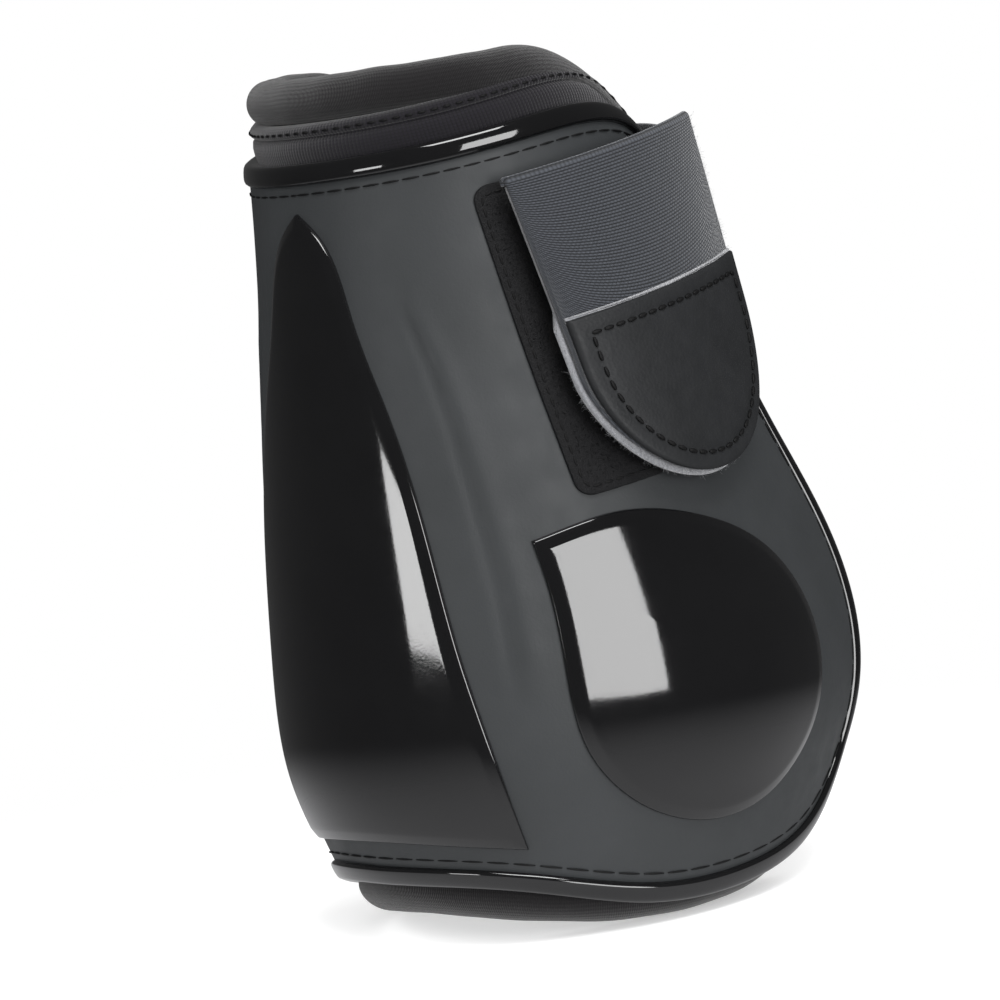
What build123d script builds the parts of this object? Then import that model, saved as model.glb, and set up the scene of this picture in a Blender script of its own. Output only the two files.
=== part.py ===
from build123d import *

import functools
import math
import os

# A right hind fetlock boot in millimetres: +X is the front of the leg, -Y its outer side, +Z up the cannon bone.
#
# The origin is on the axis of the cannon bone, at half the boot's height. Every piece is cut from layers that wrap
# one leg form, so a layer is told by its distances from the outer face of the shell: negative is towards the leg.

# The outer face of the shell: height, half depth, half width and how far its centre lies in front of the origin.
LEG_FORM = (
    (96, 41.5, 35.5, 0.3),
    (76, 42.5, 36.5, 0.6),
    (50, 45.0, 38.8, 1.6),
    (26, 49.2, 42.0, 3.6),
    (6, 54.2, 46.2, 6.9),
    (-14, 59.4, 50.4, 11.2),
    (-26, 61.4, 52.0, 12.9),
    (-41, 61.6, 52.4, 13.4),
    (-53, 59.2, 50.0, 12.8),
    (-63, 54.8, 46.8, 12.0),
    (-86, 44.0, 38.0, 10.6),
)

# Layers, as distances from the outer face of the shell.
SHELL_THICK = 2.4
RIM_PROUD = 1.0
PLATE_PROUD = 1.5
PAD_THICK = 3.0
LINER_INSIDE = -8.4
LINING_INSIDE = -9.4
GUSSET_OUTSIDE = -1.2
STITCH_PROUD = 0.25
SHELL_SEAM_PROUD = 0.4
HOOK_OUTSIDE = 1.4
LOOP_PAD_INSIDE = 2.0
BAND_INSIDE = 2.8
BAND_OUTSIDE = 4.0
PILE_INSIDE = 4.4
ELASTIC_INSIDE = 5.4
LEATHER_INSIDE = 6.6
LEATHER_OUTSIDE = 8.0

# Edges, measured in from the shell's own edge in the side view.
RIM_WIDTH = 4.2
SHELL_SEAM_INSET = 5.2
SHELL_SEAM_WIDTH = 1.2
SEAM_WIDTH = 0.8
LINER_INSET = 0.8
GUSSET_RISE = 7.0
COLLAR_SEAM_RISE = 5.6
WRAP_FORESHORTENING = 0.72
FRONT_CORNER_Z = 68
PLATE_PAD_INSET = 3
DOME_PAD_SCALE = 0.85
HOOK_SEAM_INSET = 1.2
FAR = 90

# The shell's edge in the side view: over the top, down the open front, round the fetlock lobe and along the bottom.
SHELL_EDGE = (
    (-60, 70), (-38, 71), (-18, 73.6), (2, 75.2), (15, 71.5), (23, 61), (42, 13), (52, -12),
    (55.5, -34), (50, -56), (34, -71), (10, -76.6), (-14, -75.3), (-38, -68), (-60, -66),
)

# One side of the strike plate, seen from behind: half width and height, from its point down to its corner.
PLATE_SIDE = ((0, 61.5), (5, 57), (11, 41), (16.5, 24), (21.5, 4), (26, -24), (29.3, -48), (28.8, -61.5))
PLATE_FOOT_Z = -58.3

# The fetlock dome in the side view, from its sharp corner over the top and round.
DOME_EDGE = (
    (-28.5, -3.5), (-14, -0.6), (4, -4), (19, -12), (29, -26), (29.5, -43), (19, -57.5),
    (2, -62.3), (-14, -57), (-25, -44), (-27.2, -27), (-27.6, -12),
)
DOME_MIDDLE = (1.0, -32.0)

# Hook patch on the outer side, in the side view.
HOOK_CENTRE = (0.5, 35.2)
HOOK_WIDTH = 46.5
HOOK_HEIGHT = 60
HOOK_CORNER = 3
HOOK_TILT = 6.5
HOOK_EDGE_INSET = 6.6

# Closing strap: fold line, tilt, and the lengths of its flap measured down from the fold.
FOLD_CENTRE = (1.5, 65.8)
STRAP_TILT = 8
STRAP_WIDTH = 52
TAB_TOP = -26.5
TAB_SHOULDER = -36
TAB_TIP = -62
TAB_MARGIN = 0.5
BAND_TOP = -2
BAND_HEIGHT = 36
BAND_LATERAL_END_X = -21
FOLD_ROLL = 1.5
LEATHER_SEAM_INSET = 3.0
ELASTIC_TIP_INSET = 1.0
PILE_TIP_PROUD = 0.6

# The flap's plan: it follows the form behind this height's widest point and runs straight on in front of it.
FLAP_PLAN_Z = 62
FLAP_PLAN = (43.8, 37.7, 1.1)
FLAP_FLARE = 0.14
FLAP_FRONT_X = 45
FLAP_REAR_ANGLE = 232
FLAP_SIDE_ANGLE = 270
FLAP_ABOVE = 20
FLAP_DROP = 100

# The band turns about a line down its own middle layer, at the medial front edge of the shell.
BAND_HINGE_ANGLE = 55
HINGE_GAP_ANGLE = 2
ANCHOR_REAR_ANGLE = 98
ANCHOR_FREE_ANGLE = 68
ANCHOR_SEAM_INSET_ANGLE = 2
ANCHOR_SEAM_ANGLE = 1
BAND_REACH_ANGLE = -150

# Padded rolls: section radius, depth of their centre line below the outer face, and (angle, height) along one side.
ROLL_RADIUS = 4.3
ROLL_DEPTH = 5.2
TOP_ROLL = ((180, 82.2), (145, 82.5), (110, 83.0), (82, 82.6), (66, 78.6), (54, 71.0))
BOTTOM_ROLL_DEPTH = 6.2
BOTTOM_ROLL = ((180, -70.8), (155, -72.2), (125, -75.2), (101, -76.0), (79, -74.6), (60, -70.4))


def form_size(z):
    """Half depth, half width and centre of the leg form at height z, between its listed heights."""
    upper = [row for row in LEG_FORM if row[0] >= z][-1]
    lower = [row for row in LEG_FORM if row[0] <= z][0]
    if upper == lower:
        return upper[1:]
    share = (z - lower[0]) / (upper[0] - lower[0])
    return tuple(low + share * (high - low) for low, high in zip(lower[1:], upper[1:]))


def form_point(angle, z, distance):
    """A point at this distance outside the form, at an angle from the front."""
    depth, width, centre = form_size(z)
    turn = math.radians(angle)
    return (centre + (depth + distance) * math.cos(turn), (width + distance) * math.sin(turn), z)


@functools.cache
def solid_form(distance):
    """The leg form, grown by distance."""
    rings = [
        Pos(centre, 0, z) * Ellipse(depth + distance, width + distance)
        for z, depth, width, centre in reversed(LEG_FORM)
    ]
    return loft(rings)


@functools.cache
def layer(inside, outside):
    """The tube between two distances from the outer face of the shell."""
    return solid_form(outside) - solid_form(inside)


def side_prism(face, sides="both"):
    """A side-view face run through the boot: lateral is -Y and medial is +Y."""
    if sides == "lateral":
        return extrude(face, amount=FAR)
    if sides == "medial":
        return extrude(face, amount=-FAR)
    return extrude(face, amount=FAR, both=True)


def shell_outline(inset):
    """The side-view face inside the shell's edge, moved in by inset along the surface."""
    moved = []
    last = len(SHELL_EDGE) - 1
    for i, (x, z) in enumerate(SHELL_EDGE):
        before = SHELL_EDGE[max(i - 1, 0)]
        after = SHELL_EDGE[min(i + 1, last)]
        along = (after[0] - before[0], after[1] - before[1])
        length = math.hypot(*along)
        step_x = inset * along[1] / length * WRAP_FORESHORTENING if 0 < i < last else 0
        step_z = -inset * along[0] / length
        moved.append((x + step_x, z + step_z))
    edge = Plane.XZ * Spline(*moved)
    return make_face([edge, Line(edge @ 1, edge @ 0)])


@functools.cache
def shell_region(inset, outer=None):
    """The prism inside the edge, or the frame-shaped prism between two insets."""
    region = side_prism(shell_outline(inset))
    if outer is None:
        return region
    return side_prism(shell_outline(outer)) - region


def plate_prism(inset=0):
    """The strike plate's outline, run out of the back of the boot."""
    right = [(y - inset * (y > 0), z - inset * (i == 0)) for i, (y, z) in enumerate(PLATE_SIDE)]
    right[-1] = (right[-1][0], right[-1][1] + inset)
    left = [(-y, z) for y, z in right]
    sides = [Spline(*right), Spline(*left)]
    foot = ThreePointArc(right[-1], (0, PLATE_FOOT_Z + inset), left[-1])
    return extrude(Plane.YZ * make_face([*sides, foot]), amount=-FAR)


def dome_face(scale=1.0):
    """The fetlock dome's outline, scaled about its own middle."""
    middle_x, middle_z = DOME_MIDDLE
    points = [
        (middle_x + scale * (x - middle_x), middle_z + scale * (z - middle_z))
        for x, z in (*DOME_EDGE, DOME_EDGE[0])
    ]
    return Plane.XZ * make_face(Spline(*points))


def hook_face(inset=0):
    """The hook patch's outline in the side view."""
    shape = RectangleRounded(HOOK_WIDTH - 2 * inset, HOOK_HEIGHT - 2 * inset, HOOK_CORNER)
    return Plane.XZ * (Pos(*HOOK_CENTRE) * Rot(0, 0, HOOK_TILT) * shape)


def strap_frame():
    """The side view, with its origin at the middle of the fold and its Y up along the strap."""
    return Plane.XZ * Pos(*FOLD_CENTRE) * Rot(0, 0, STRAP_TILT)


def tongue_face(top, half_width, tip):
    """A strip with a round end: straight to the tab's shoulder, then half an ellipse to its tip."""
    sides = Polyline((-half_width, TAB_SHOULDER), (-half_width, top), (half_width, top), (half_width, TAB_SHOULDER))
    end = EllipticalCenterArc((0, TAB_SHOULDER), half_width, TAB_SHOULDER - tip, 180, arc_size=180)
    return strap_frame() * make_face([*sides.edges(), end])


def flap_layer(inside, outside):
    """A sheet with the flap's plan, flaring outwards as it comes down."""
    depth, width, centre = FLAP_PLAN
    sweep_angle = FLAP_SIDE_ANGLE - FLAP_REAR_ANGLE
    edges = []
    ends = []
    for distance in (inside, outside):
        radii = (depth + distance, width + distance)
        arc = EllipticalCenterArc((centre, 0), *radii, FLAP_REAR_ANGLE, arc_size=sweep_angle)
        reach = Line((centre, -width - distance), (FLAP_FRONT_X, -width - distance))
        edges += [arc, reach]
        ends.append((arc @ 0, reach @ 1))
    edges += [Line(ends[0][0], ends[1][0]), Line(ends[0][1], ends[1][1])]
    top_z = FLAP_PLAN_Z + FLAP_ABOVE
    plan = Pos(0, FLAP_FLARE * (top_z - FLAP_PLAN_Z), top_z) * make_face(edges)
    return extrude(plan, amount=FLAP_DROP, dir=Vector(0, -FLAP_FLARE, -1).normalized())


def wedge(first, last):
    """The upright wedge between two angles from the front, seen from the origin's axis."""
    reach = 2 * FAR
    steps = 8
    turns = [math.radians(first + (last - first) * i / steps) for i in range(steps + 1)]
    rim = [(reach * math.cos(turn), reach * math.sin(turn)) for turn in turns]
    return Pos(0, 0, -FAR) * extrude(make_face(Polyline((0, 0), *rim, (0, 0))), amount=2 * FAR)


def band_slab():
    """The tilted slab that the front band and its root lie in."""
    middle = BAND_TOP - BAND_HEIGHT / 2
    return side_prism(strap_frame() * (Pos(0, middle) * Rectangle(4 * FAR, BAND_HEIGHT)))


def roll(track, depth_below):
    """A padded roll along both sides of the boot, open at the front."""
    one_side = [form_point(angle, z, -depth_below) for angle, z in track]
    other_side = [(x, -y, z) for x, y, z in one_side[:0:-1]]
    path = Spline(*other_side, *one_side)
    section = Plane(path @ 0, z_dir=path % 0) * Circle(ROLL_RADIUS)
    return sweep(section, path)


def mirrored(piece):
    """The same piece on the medial side."""
    return mirror(piece, about=Plane.XZ)


def build_shell():
    """Moulded shell, its rim, the glossy plates and the seam that holds them to the liner."""
    panel = layer(-SHELL_THICK, 0) & shell_region(RIM_WIDTH)
    rim = layer(-SHELL_THICK, RIM_PROUD) & shell_region(RIM_WIDTH, outer=0)
    plates = layer(0, PLATE_PROUD)
    dome = plates & side_prism(dome_face(), "lateral")
    seam_ring = shell_region(SHELL_SEAM_INSET + SHELL_SEAM_WIDTH, outer=SHELL_SEAM_INSET)
    seam = layer(0, SHELL_SEAM_PROUD) & seam_ring
    return {
        "outer_shell": panel,
        "shell_rim": rim,
        "back_strike_plate": plates & plate_prism(),
        "lateral_fetlock_dome": dome,
        "medial_fetlock_dome": mirrored(dome),
        "shell_stitching": seam,
    }


def build_lining():
    """Neoprene liner with its pockets, the shock pads in them and the knitted lining."""
    pads = layer(-SHELL_THICK - PAD_THICK, -SHELL_THICK)
    back_pad = pads & plate_prism(PLATE_PAD_INSET)
    side_pad = pads & side_prism(dome_face(DOME_PAD_SCALE), "lateral")
    other_pad = mirrored(side_pad)
    liner = layer(LINER_INSIDE, -SHELL_THICK) & shell_region(LINER_INSET)
    return {
        "neoprene_liner": liner - back_pad - side_pad - other_pad,
        "inner_lining": layer(LINING_INSIDE, LINER_INSIDE) & shell_region(LINER_INSET),
        "back_foam_pad": back_pad,
        "lateral_foam_pad": side_pad,
        "medial_foam_pad": other_pad,
    }


def build_edges():
    """Gusset and collar roll above the rim, their seam, and the roll below the rim."""
    above = Pos(0, 0, FRONT_CORNER_Z + FAR / 2) * Box(4 * FAR, 4 * FAR, FAR)
    gusset = layer(LINER_INSIDE, GUSSET_OUTSIDE) & shell_region(0, outer=-GUSSET_RISE) & above
    seam_ring = shell_region(-COLLAR_SEAM_RISE, outer=-COLLAR_SEAM_RISE - SEAM_WIDTH)
    seam = layer(GUSSET_OUTSIDE, GUSSET_OUTSIDE + STITCH_PROUD) & seam_ring & above
    inside_boot = side_prism(shell_outline(0)) & solid_form(RIM_PROUD)
    top = roll(TOP_ROLL, ROLL_DEPTH) - gusset - seam - inside_boot
    bottom = roll(BOTTOM_ROLL, BOTTOM_ROLL_DEPTH) - inside_boot
    return {
        "top_gusset": gusset,
        "top_collar_roll": top,
        "collar_stitching": seam,
        "bottom_collar_roll": bottom,
    }


def build_closure_on_shell(shell_seam):
    """Hook patch on the outer side and the sewn root of the band on the inner side."""
    panel = shell_region(HOOK_EDGE_INSET)
    patch = layer(0, HOOK_OUTSIDE) & side_prism(hook_face(), "lateral") & panel
    ring = side_prism(hook_face(HOOK_SEAM_INSET), "lateral")
    ring -= side_prism(hook_face(HOOK_SEAM_INSET + SEAM_WIDTH), "lateral")
    inner_panel = shell_region(HOOK_EDGE_INSET + 1)
    patch_seam = layer(HOOK_OUTSIDE, HOOK_OUTSIDE + STITCH_PROUD) & ring & inner_panel
    slab = band_slab()
    sewn = layer(0, BAND_OUTSIDE) & slab & wedge(ANCHOR_FREE_ANGLE, ANCHOR_REAR_ANGLE)
    free = layer(BAND_INSIDE, BAND_OUTSIDE) & slab
    free &= wedge(BAND_HINGE_ANGLE + HINGE_GAP_ANGLE, ANCHOR_FREE_ANGLE)
    root = sewn + free - shell_seam
    first = ANCHOR_FREE_ANGLE + ANCHOR_SEAM_INSET_ANGLE
    last = ANCHOR_REAR_ANGLE - ANCHOR_SEAM_INSET_ANGLE
    frame = wedge(first, last) - wedge(first + ANCHOR_SEAM_ANGLE, last - ANCHOR_SEAM_ANGLE)
    root_seam = layer(BAND_OUTSIDE, BAND_OUTSIDE + STITCH_PROUD) & slab & frame
    return {
        "hook_patch": patch,
        "hook_patch_stitching": patch_seam,
        "band_anchor": root,
        "band_anchor_stitching": root_seam,
    }


def build_front_band():
    """Elastic band round the open front, with the loop pad under its free end."""
    slab = band_slab()
    behind = Pos(BAND_LATERAL_END_X - 2 * FAR, 0, 0) * Box(4 * FAR, 4 * FAR, 4 * FAR)
    reach = wedge(BAND_REACH_ANGLE, BAND_HINGE_ANGLE - HINGE_GAP_ANGLE) - behind
    band = layer(BAND_INSIDE, BAND_OUTSIDE) & slab & reach
    under = side_prism(hook_face(2), "lateral") & shell_region(HOOK_EDGE_INSET + 2)
    loop_pad = layer(LOOP_PAD_INSIDE, BAND_INSIDE) & slab & reach & under
    return {"front_band": band, "band_end_loop_pad": loop_pad}


def build_lock_flap():
    """The elastic flap folded down over the band's end, its loop lining and its leather tab."""
    half = STRAP_WIDTH / 2
    elastic = flap_layer(ELASTIC_INSIDE, LEATHER_INSIDE)
    elastic &= side_prism(tongue_face(0, half, TAB_TIP + ELASTIC_TIP_INSET), "lateral")
    roll_face = strap_frame() * (Pos(0, FOLD_ROLL / 2) * Rectangle(STRAP_WIDTH, FOLD_ROLL))
    fold = flap_layer(PILE_INSIDE, LEATHER_INSIDE) & side_prism(roll_face, "lateral")
    pile = flap_layer(PILE_INSIDE, ELASTIC_INSIDE)
    pile &= side_prism(tongue_face(0, half, TAB_TIP - PILE_TIP_PROUD), "lateral")
    leather = flap_layer(LEATHER_INSIDE, LEATHER_OUTSIDE)
    tab_half = half - TAB_MARGIN
    tab = leather & side_prism(tongue_face(TAB_TOP, tab_half, TAB_TIP), "lateral")
    ring = side_prism(
        tongue_face(TAB_TOP - LEATHER_SEAM_INSET, tab_half - LEATHER_SEAM_INSET, TAB_TIP + LEATHER_SEAM_INSET)
        - tongue_face(
            TAB_TOP - LEATHER_SEAM_INSET - SEAM_WIDTH,
            tab_half - LEATHER_SEAM_INSET - SEAM_WIDTH,
            TAB_TIP + LEATHER_SEAM_INSET + SEAM_WIDTH,
        ),
        "lateral",
    )
    seam = flap_layer(LEATHER_OUTSIDE, LEATHER_OUTSIDE + STITCH_PROUD) & ring
    return {
        "lock_flap": elastic + fold,
        "flap_loop_lining": pile,
        "end_tab": tab,
        "end_tab_stitching": seam,
    }


def write_parts():
    """Builds every piece and writes each to its own file."""
    os.makedirs("parts", exist_ok=True)
    pieces = build_shell()
    pieces |= build_lining()
    pieces |= build_edges()
    pieces |= build_closure_on_shell(pieces["shell_stitching"])
    pieces |= build_front_band()
    pieces |= build_lock_flap()
    for name, piece in pieces.items():
        export_step(piece, f"parts/{name}.step")
    print("pieces:", len(pieces))


write_parts()
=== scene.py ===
import math

import bmesh
import bpy
import numpy as np
from mathutils import Matrix, Vector
from mathutils.bvhtree import BVHTree


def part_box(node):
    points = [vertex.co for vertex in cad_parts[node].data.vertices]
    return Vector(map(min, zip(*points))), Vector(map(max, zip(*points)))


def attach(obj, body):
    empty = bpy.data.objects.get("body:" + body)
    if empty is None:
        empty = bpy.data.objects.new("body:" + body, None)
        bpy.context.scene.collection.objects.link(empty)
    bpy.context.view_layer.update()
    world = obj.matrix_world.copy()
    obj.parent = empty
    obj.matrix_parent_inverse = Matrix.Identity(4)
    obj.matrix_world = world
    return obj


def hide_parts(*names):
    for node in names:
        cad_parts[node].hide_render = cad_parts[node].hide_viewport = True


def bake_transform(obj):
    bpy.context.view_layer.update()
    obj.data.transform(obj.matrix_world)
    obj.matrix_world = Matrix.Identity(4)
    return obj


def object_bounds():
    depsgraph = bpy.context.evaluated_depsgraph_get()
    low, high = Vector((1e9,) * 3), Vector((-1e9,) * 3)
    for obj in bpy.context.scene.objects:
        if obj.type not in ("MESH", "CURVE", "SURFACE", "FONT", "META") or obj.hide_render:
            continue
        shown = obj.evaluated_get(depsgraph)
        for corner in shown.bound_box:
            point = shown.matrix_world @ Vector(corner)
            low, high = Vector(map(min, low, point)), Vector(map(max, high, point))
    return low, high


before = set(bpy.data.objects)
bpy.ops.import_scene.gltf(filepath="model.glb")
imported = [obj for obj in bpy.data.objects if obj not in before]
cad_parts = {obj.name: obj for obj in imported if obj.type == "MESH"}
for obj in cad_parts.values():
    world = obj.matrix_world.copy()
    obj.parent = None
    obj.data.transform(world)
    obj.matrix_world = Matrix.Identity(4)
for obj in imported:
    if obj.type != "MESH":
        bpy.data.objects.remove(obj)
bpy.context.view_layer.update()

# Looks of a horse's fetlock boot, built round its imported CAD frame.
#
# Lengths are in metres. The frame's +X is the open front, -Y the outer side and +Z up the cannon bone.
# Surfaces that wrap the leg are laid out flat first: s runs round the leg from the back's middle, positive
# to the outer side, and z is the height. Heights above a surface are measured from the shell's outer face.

MM = 0.001
WELD = 1e-6
ROUND_RADIUS = 0.050      # the radius that turns s into an angle
FORM_DEGREE = 9           # of the curves through the ellipses' sizes


def in_mm(rows):
    """Numbers given in millimetres, in metres."""
    return np.array(rows, float) * MM


def flat_lengths(curve):
    """How far along a curve each of its points is."""
    return np.concatenate([[0], np.cumsum(np.linalg.norm(np.diff(curve, axis=0), axis=1))])


# ------------------------------------------------------------------------------
# Shape of the leg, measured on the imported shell


def measure_form():
    """Ellipses through the outer face of the shell: height range and smooth curves of their three sizes."""
    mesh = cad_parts["outer_shell"].data
    tree = BVHTree.FromPolygons([v.co for v in mesh.vertices], [p.vertices for p in mesh.polygons])
    low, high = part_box("outer_shell")
    heights = np.linspace(low.z + 14 * MM, high.z - 7 * MM, 31)
    sizes = []
    for z in heights:
        rows = []
        for turn in np.radians(np.linspace(-112, 112, 57)):
            outward = Vector((-math.cos(turn), -math.sin(turn), 0))
            hit = tree.ray_cast(Vector((0.004, 0, z)) + outward * 0.2, -outward)[0]
            if hit is not None:
                rows.append((hit.y * hit.y, hit.x, 1.0, -hit.x * hit.x))
        rows = np.array(rows)
        ratio, middle, rest = np.linalg.lstsq(rows[:, :3], rows[:, 3], rcond=None)[0]
        centre = -middle / 2
        depth = math.sqrt(centre * centre - rest)
        sizes.append((depth, depth / math.sqrt(ratio), centre))
    curves = [np.polynomial.Chebyshev.fit(heights, column, FORM_DEGREE) for column in np.array(sizes).T]
    return heights[0], heights[-1], curves


FORM_LOW, FORM_HIGH, FORM_CURVES = measure_form()


def form_sizes(z):
    """Half depth, half width and centre at heights z, run on in a straight line past the measured range."""
    z = np.asarray(z, float)
    inside = np.clip(z, FORM_LOW, FORM_HIGH)
    beyond = z - inside
    return [curve(inside) + curve.deriv()(inside) * beyond for curve in FORM_CURVES]


def on_leg(flat, height):
    """Points in space for flat points (s, z), at these heights above the shell's outer face."""
    flat = np.asarray(flat, float)
    depth, width, centre = form_sizes(flat[..., 1])
    turn = flat[..., 0] / ROUND_RADIUS
    x = centre - (depth + height) * np.cos(turn)
    y = -(width + height) * np.sin(turn)
    return np.stack([x, y, flat[..., 1]], -1)


def from_side(points):
    """Flat points (s, z) on the outer side for side-view points (x, z)."""
    points = np.asarray(points, float)
    depth, _, centre = form_sizes(points[:, 1])
    turn = np.arccos(np.clip((centre - points[:, 0]) / depth, -1, 1))
    return np.stack([turn * ROUND_RADIUS, points[:, 1]], -1)


def from_behind(points):
    """Flat points (s, z) for points (y, z) seen from behind."""
    points = np.asarray(points, float)
    width = form_sizes(points[:, 1])[1]
    turn = np.arcsin(np.clip(-points[:, 0] / width, -1, 1))
    return np.stack([turn * ROUND_RADIUS, points[:, 1]], -1)


# ------------------------------------------------------------------------------
# Curves


def spline(points, count, closed=False):
    """A smooth curve through points, as count points evenly spaced along it."""
    points = np.asarray(points, float)
    if closed:
        wrap = 4
        points = np.vstack([points[-wrap:], points, points[:wrap + 1]])
    knots = flat_lengths(points)
    gaps = np.diff(knots)
    size = len(points)
    system = np.zeros((size, size))
    right = np.zeros_like(points)
    system[0, 0] = system[-1, -1] = 1
    for i in range(1, size - 1):
        system[i, i - 1:i + 2] = gaps[i - 1], 2 * (gaps[i - 1] + gaps[i]), gaps[i]
        right[i] = 6 * ((points[i + 1] - points[i]) / gaps[i] - (points[i] - points[i - 1]) / gaps[i - 1])
    bends = np.linalg.solve(system, right)
    start, end = (knots[wrap], knots[-wrap - 1]) if closed else (0, knots[-1])
    fine = np.linspace(start, end, 40 * size)
    i = np.clip(np.searchsorted(knots, fine, side="right") - 1, 0, size - 2)
    span = gaps[i][:, None]
    a = (knots[i + 1] - fine)[:, None]
    b = (fine - knots[i])[:, None]
    curve = (
        bends[i] * a**3 / (6 * span)
        + bends[i + 1] * b**3 / (6 * span)
        + (points[i] / span - bends[i] * span / 6) * a
        + (points[i + 1] / span - bends[i + 1] * span / 6) * b
    )
    return evenly(curve, count, closed)


def evenly(curve, count, closed=False):
    """The same curve with count evenly spaced points. A closed curve doesn't repeat its first point."""
    lengths = flat_lengths(curve)
    where = np.linspace(0, lengths[-1], count + 1 if closed else count)
    if closed:
        where = where[:-1]
    return np.stack([np.interp(where, lengths, column) for column in curve.T], -1)


def moved_in(loop, inset):
    """A closed flat loop moved inwards by inset."""
    along = np.roll(loop, -1, 0) - np.roll(loop, 1, 0)
    along /= np.maximum(np.linalg.norm(along, axis=1, keepdims=True), 1e-9)
    inward = np.stack([-along[:, 1], along[:, 0]], -1)
    following = np.roll(loop, -1, 0)
    area = np.sum(loop[:, 0] * following[:, 1] - loop[:, 1] * following[:, 0])
    return loop + inward * inset * (1 if area > 0 else -1)


# ------------------------------------------------------------------------------
# Meshes


def make_object(name, points, faces, flat=None, smooth=True):
    """A mesh object. flat gives each point's place on the cloth, in metres, as its UV."""
    mesh = bpy.data.meshes.new(name)
    mesh.from_pydata([tuple(p) for p in np.asarray(points, float).tolist()], [], [tuple(f) for f in faces])
    if flat is not None:
        layer = mesh.uv_layers.new(name="cloth")
        corners = np.empty(len(mesh.loops), np.int32)
        mesh.loops.foreach_get("vertex_index", corners)
        layer.data.foreach_set("uv", np.asarray(flat, np.float32)[corners].ravel())
    work = bmesh.new()
    work.from_mesh(mesh)
    bmesh.ops.remove_doubles(work, verts=work.verts, dist=WELD)
    bmesh.ops.recalc_face_normals(work, faces=work.faces)
    work.to_mesh(mesh)
    work.free()
    mesh.polygons.foreach_set("use_smooth", [smooth] * len(mesh.polygons))
    piece = bpy.data.objects.new(name, mesh)
    bpy.context.scene.collection.objects.link(piece)
    return piece


def ring_faces(first, second, count):
    """Quads between two closed rings of count points that start at these indices."""
    return [(first + i, first + (i + 1) % count, second + (i + 1) % count, second + i) for i in range(count)]


def strip_faces(first, second, count):
    """Quads between two open rows of count points."""
    return [(first + i, first + i + 1, second + i + 1, second + i) for i in range(count - 1)]


def sweep(name, sections, cloth):
    """A skin over a row of closed sections, with its ends filled."""
    sections = np.asarray(sections, float)
    rows, count, _ = sections.shape
    points = sections.reshape(-1, 3)
    faces = []
    for row in range(rows - 1):
        faces.extend(ring_faces(row * count, (row + 1) * count, count))
    for row in (0, rows - 1):
        tip = len(points)
        points = np.vstack([points, sections[row].mean(0)])
        faces.extend((row * count + i, row * count + (i + 1) % count, tip) for i in range(count))
        cloth = np.vstack([cloth, cloth[row * count]])
    return make_object(name, points, faces, cloth)


def capsules(name, segments, width, thick, bow=0.0):
    """Short threads: each segment is (start, end, outward normal), drawn as a rounded bar bowed outwards."""
    rows, around = 7, 8
    points, faces = [], []
    for start, end, normal in segments:
        base = len(points)
        along = end - start
        across = np.cross(normal, along)
        across /= np.linalg.norm(across)
        up = np.cross(along, across)
        up /= np.linalg.norm(up)
        for row in range(rows):
            share = row / (rows - 1)
            size = max(0.12, math.sin(math.pi * (0.08 + 0.84 * share)) ** 0.5)
            middle = start + along * share + up * bow * math.sin(math.pi * share)
            for k in range(around):
                turn = 2 * math.pi * k / around
                sideways = across * math.cos(turn) * width / 2
                points.append(middle + size * (sideways + up * math.sin(turn) * thick / 2))
        for row in range(rows - 1):
            faces.extend(ring_faces(base + row * around, base + (row + 1) * around, around))
        faces.append(tuple(range(base, base + around)))
        faces.append(tuple(range(base + (rows - 1) * around, base + rows * around)))
    return make_object(name, points, faces)


def stitch_row(place, curve, height, pitch, length):
    """Segments for a row of stitches along a flat curve."""
    lengths = flat_lengths(curve)
    segments = []
    for middle in np.arange(pitch / 2, lengths[-1], pitch):
        ends = [middle - length / 2, middle + length / 2]
        flat = np.stack([np.interp(ends, lengths, column) for column in curve.T], -1)
        low = place(flat, np.array([height, height]))
        high = place(flat, np.array([height + MM, height + MM]))
        segments.append((low[0], low[1], (high - low).mean(0) / MM))
    return segments


def fibres(name, roots, directions, length, thick, seed, curl=0.5):
    """Fine curved hairs from roots, each a tapering three-sided thread."""
    rng = np.random.default_rng(seed)
    points, faces = [], []
    rows = 4
    for root, direction in zip(roots, directions):
        heading = direction + rng.normal(0, 0.45, 3)
        heading /= np.linalg.norm(heading)
        bend = rng.normal(0, curl, 3)
        side = np.cross(heading, rng.normal(0, 1, 3))
        side /= np.linalg.norm(side)
        other = np.cross(heading, side)
        reach = length * rng.uniform(0.35, 1.0)
        base = len(points)
        for row in range(rows):
            share = row / (rows - 1)
            middle = root + heading * reach * share + bend * reach * share * share * 0.5
            size = thick * (1 - 0.7 * share) / 2
            for k in range(3):
                turn = 2 * math.pi * k / 3
                points.append(middle + size * (side * math.cos(turn) + other * math.sin(turn)))
        for row in range(rows - 1):
            faces.extend(ring_faces(base + row * 3, base + (row + 1) * 3, 3))
        faces.append((base, base + 1, base + 2))
        faces.append((base + 3 * rows - 3, base + 3 * rows - 2, base + 3 * rows - 1))
    return make_object(name, points, faces)


def dress(piece, body, material, nodes=()):
    """Gives a piece its material and its body, and hides the CAD nodes that it stands for."""
    piece.data.materials.clear()
    piece.data.materials.append(material)
    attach(piece, body)
    if nodes:
        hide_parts(*nodes)
    return piece


# ------------------------------------------------------------------------------
# Materials


def tone(red, green, blue):
    """A linear colour from display values of 0 to 255."""
    linear = []
    for value in (red / 255, green / 255, blue / 255):
        linear.append(value / 12.92 if value <= 0.04045 else ((value + 0.055) / 1.055) ** 2.4)
    return (*linear, 1.0)


def colour_sockets(sockets):
    """The colour sockets of a mix node, whose other sockets have the same names."""
    return [socket for socket in sockets if socket.type == "RGBA"]


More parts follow.
